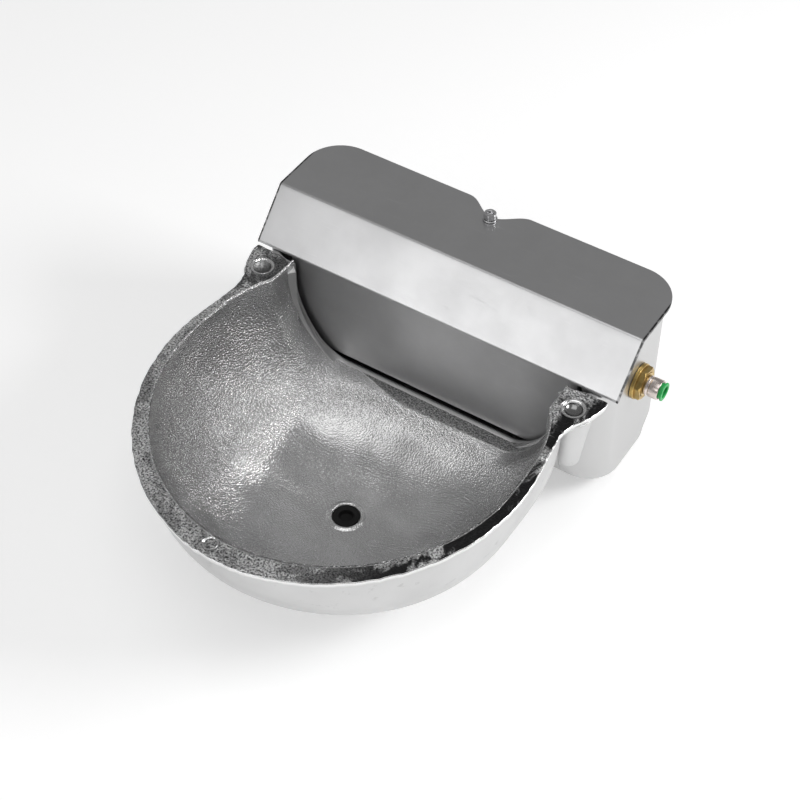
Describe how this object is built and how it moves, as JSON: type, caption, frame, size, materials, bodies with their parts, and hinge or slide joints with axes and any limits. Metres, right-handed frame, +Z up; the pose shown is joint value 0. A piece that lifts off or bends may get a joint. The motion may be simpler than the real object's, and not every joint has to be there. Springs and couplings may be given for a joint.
{
  "type": "livestock drinking bowl",
  "caption": "Cast aluminium constant-level drinking bowl with a float chamber behind it, a folded stainless cover, a side-inlet float valve and a rubber drain plug",
  "frame": {"origin": "On the flat back face that goes against the wall, in the middle of its width, at the height of the bowl's rim", "axes": "X to the right as a drinking animal sees it from the front, Y back into the wall, Z up"},
  "size_m": [0.2906, 0.3261, 0.143],
  "materials": {
    "cast_aluminium": "as cast, hammered texture inside the bowl, coarse skin on the rim",
    "brushed_stainless": "satin sheet",
    "bright_steel": "bright stainless",
    "brass": "machined",
    "nickel": "nickel plated",
    "green_plastic": "moulded",
    "white_plastic": "moulded",
    "black_rubber": "matt"
  },
  "bodies": {
    "casting": {"bowl_casting": "cast_aluminium", "valve_body": "brass", "valve_nozzle": "white_plastic", "lever_pin": "bright_steel", "lever_pin_clip": "bright_steel", "inlet_washer": "black_rubber", "inlet_lock_nut": "brass", "inlet_coupling": "nickel", "hose_seal": "black_rubber", "hose_grip_ring": "bright_steel"},
    "cover": {"cover": "brushed_stainless", "cover_washer": "bright_steel"},
    "cover_screw": {"cover_screw": "bright_steel"},
    "float_lever": {"float_lever": "brass", "float_rod": "bright_steel", "float_body": "white_plastic", "float_washer_near": "bright_steel", "float_washer_far": "bright_steel", "float_nut_near": "brass", "float_nut_far": "brass"},
    "plunger": {"valve_plunger": "brass", "plunger_seal": "black_rubber"},
    "collet": {"release_collet": "green_plastic"},
    "drain_plug": {"drain_plug": "black_rubber"}
  },
  "joints": [
    {"name": "cover_lift", "type": "slide", "parent": "casting", "child": "cover", "axis": [0, 0, 1], "range_m": [0, 0.12]},
    {"name": "cover_screw_out", "type": "slide", "parent": "cover", "child": "cover_screw", "axis": [0, 0, 1], "range_m": [0, 0.024]},
    {"name": "float_swing", "type": "hinge", "parent": "casting", "child": "float_lever", "pos_m": [0.09508, -0.045, -0.035], "axis": [0, 1, 0], "range_deg": [0, 18]},
    {"name": "plunger_slide", "type": "slide", "parent": "casting", "child": "plunger", "axis": [1, 0, 0], "range_m": [0, 0.00346]},
    {"name": "collet_press", "type": "slide", "parent": "casting", "child": "collet", "axis": [-1, 0, 0], "range_m": [0, 0.0012], "stiffness_N_per_m": 400},
    {"name": "drain_plug_pull", "type": "slide", "parent": "casting", "child": "drain_plug", "axis": [0, 0, 1], "range_m": [0, 0.04]}
  ],
  "couplings": [
    {"joint": "plunger_slide", "follows": "float_swing", "m_per_rad": 0.010956}
  ]
}
